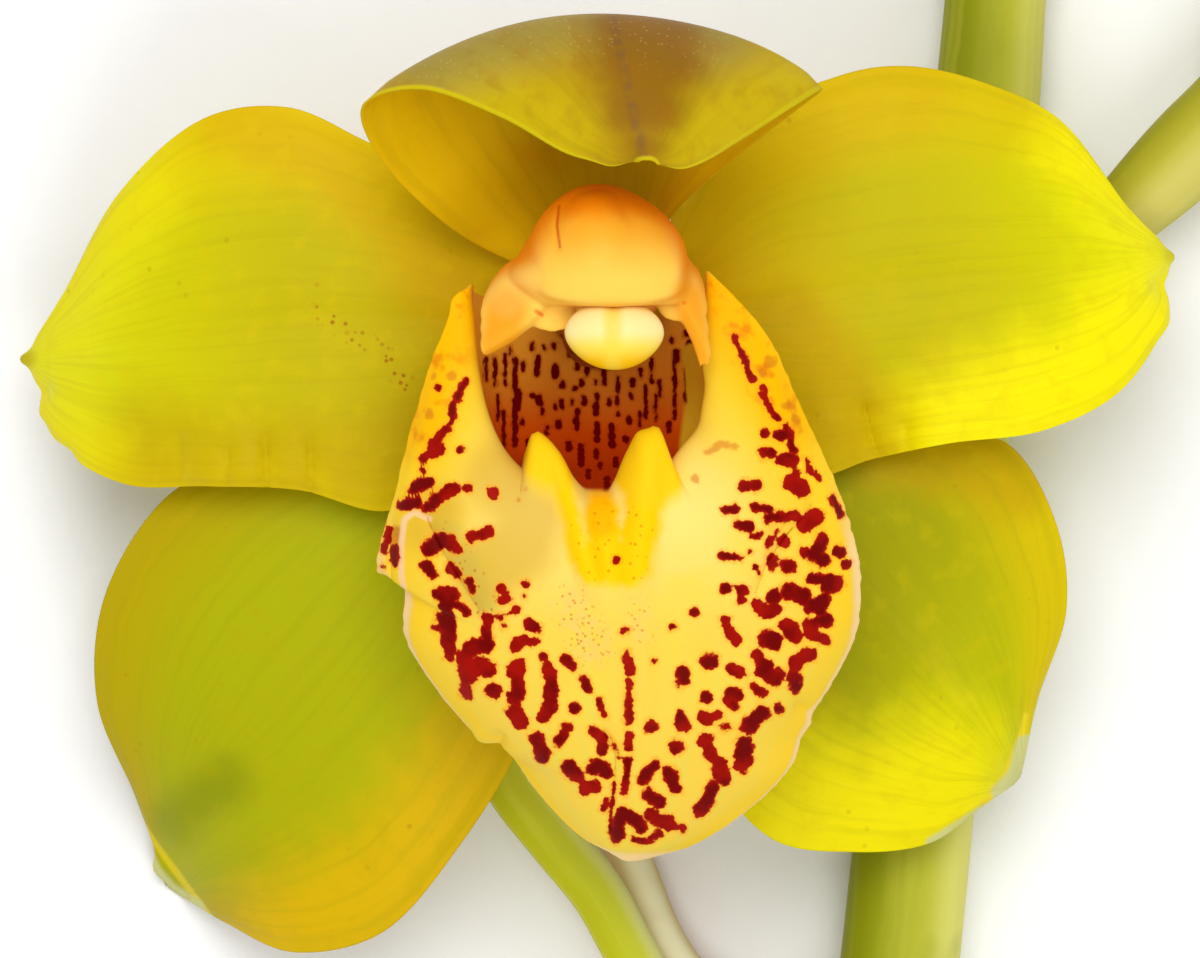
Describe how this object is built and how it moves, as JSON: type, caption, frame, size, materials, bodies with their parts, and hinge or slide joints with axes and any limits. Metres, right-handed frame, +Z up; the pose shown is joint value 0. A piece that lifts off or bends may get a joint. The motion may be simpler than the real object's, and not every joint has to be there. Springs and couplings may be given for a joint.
{
  "type": "orchid stem",
  "caption": "Cut cymbidium orchid stem lying on its side: a slender spike with a spreading waxy bloom, a spotted lip and a hooded column, and plump closed buds.",
  "frame": {"origin": "on the surface, under the spike's node that carries the side bud", "axes": "+Y along the spike towards its tip, +Z up off the surface, the way the bloom faces"},
  "size_m": [0.1324, 0.2453, 0.0574],
  "materials": {
    "hood": "satin",
    "tepal": "satin",
    "lip": "satin",
    "column": "satin",
    "anther_cap": "satin",
    "pollen": "waxy",
    "stalk": "satin",
    "pedicel": "satin",
    "bud": "satin"
  },
  "bodies": {
    "root": {"sepal_dorsal": "hood", "sepal_left": "tepal", "sepal_right": "tepal", "petal_left": "tepal", "petal_right": "tepal", "lip": "lip", "column": "column", "anther_cap": "anther_cap", "pollinarium": "pollen", "spike": "stalk", "pedicel_bloom": "pedicel", "pedicel_stub": "pedicel", "bud_side": "bud", "bud_upper": "bud", "bud_tip": "bud"}
  },
  "joints": []
}
